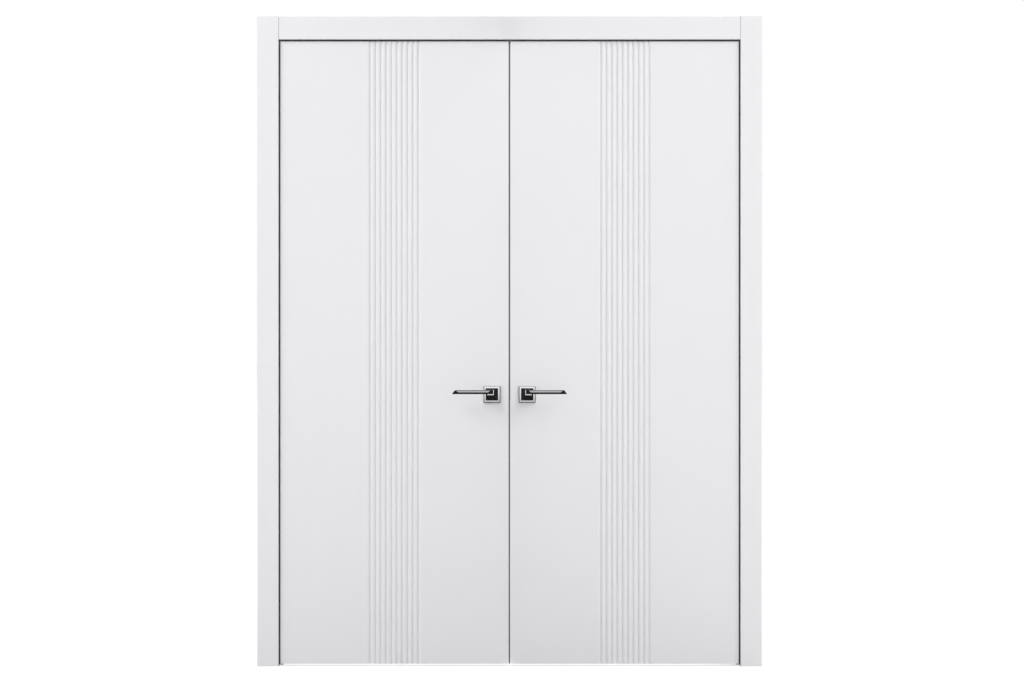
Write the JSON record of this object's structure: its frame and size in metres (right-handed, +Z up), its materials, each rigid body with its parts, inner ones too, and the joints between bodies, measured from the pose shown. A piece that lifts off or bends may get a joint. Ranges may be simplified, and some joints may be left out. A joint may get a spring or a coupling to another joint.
{
  "type": "double interior door",
  "caption": "White lacquered double interior door with reeded leaves, flat casings and chrome levers, in its jamb with stops and seals.",
  "frame": {"origin": "on the outer face of the left jamb, which is fixed to the wall, at floor level and half way through the jamb's depth", "axes": "+X to the right along the wall as seen from the front, +Y through the wall away from the viewer, +Z up"},
  "size_m": [1.647, 0.18, 2.12],
  "materials": {
    "white_lacquer": "satin white lacquer on MDF",
    "chrome": "polished chrome",
    "satin_steel": "satin steel",
    "grey_metal": "matt grey coated steel",
    "black_seal": "matt rubber",
    "grey_seal": "matt rubber"
  },
  "bodies": {
    "frame": {"left_jamb": "white_lacquer", "right_jamb": "white_lacquer", "head_jamb": "white_lacquer", "left_front_casing": "white_lacquer", "right_front_casing": "white_lacquer", "head_front_casing": "white_lacquer", "left_back_casing": "white_lacquer", "right_back_casing": "white_lacquer", "head_back_casing": "white_lacquer", "left_stop": "white_lacquer", "right_stop": "white_lacquer", "head_stop": "white_lacquer", "left_seal": "black_seal", "right_seal": "black_seal", "head_seal": "black_seal", "left_frame_hinges": "grey_metal", "right_frame_hinges": "grey_metal"},
    "left_leaf": {"left_leaf_core": "white_lacquer", "left_leaf_front_skin": "white_lacquer", "left_leaf_back_skin": "white_lacquer", "left_meeting_seal": "grey_seal", "left_leaf_hinges": "grey_metal", "left_strike_plate": "satin_steel", "left_flush_bolts": "satin_steel", "left_front_rosette": "chrome", "left_back_rosette": "chrome"},
    "right_leaf": {"right_leaf_core": "white_lacquer", "right_leaf_front_skin": "white_lacquer", "right_leaf_back_skin": "white_lacquer", "right_leaf_hinges": "grey_metal", "right_latch": "satin_steel", "right_front_rosette": "chrome", "right_back_rosette": "chrome"},
    "left_handle": {"left_front_lever": "chrome", "left_back_lever": "chrome", "left_spindle": "satin_steel"},
    "right_handle": {"right_front_lever": "chrome", "right_back_lever": "chrome", "right_spindle": "satin_steel"}
  },
  "joints": [
    {"name": "left_leaf_swing", "type": "hinge", "parent": "frame", "child": "left_leaf", "pos_m": [0.0325, -0.063, 1.023], "axis": [0, 0, -1], "range_deg": [0, 105]},
    {"name": "right_leaf_swing", "type": "hinge", "parent": "frame", "child": "right_leaf", "pos_m": [1.5345, -0.063, 1.023], "axis": [0, 0, 1], "range_deg": [0, 105]},
    {"name": "left_lever_turn", "type": "hinge", "parent": "left_leaf", "child": "left_handle", "pos_m": [0.726, -0.038, 0.887], "axis": [0, -1, 0], "range_deg": [0, 40], "stiffness_Nm_per_rad": 1.5, "springref_deg": -20.05},
    {"name": "right_lever_turn", "type": "hinge", "parent": "right_leaf", "child": "right_handle", "pos_m": [0.841, -0.038, 0.887], "axis": [0, 1, 0], "range_deg": [0, 40], "stiffness_Nm_per_rad": 1.5, "springref_deg": -20.05}
  ]
}
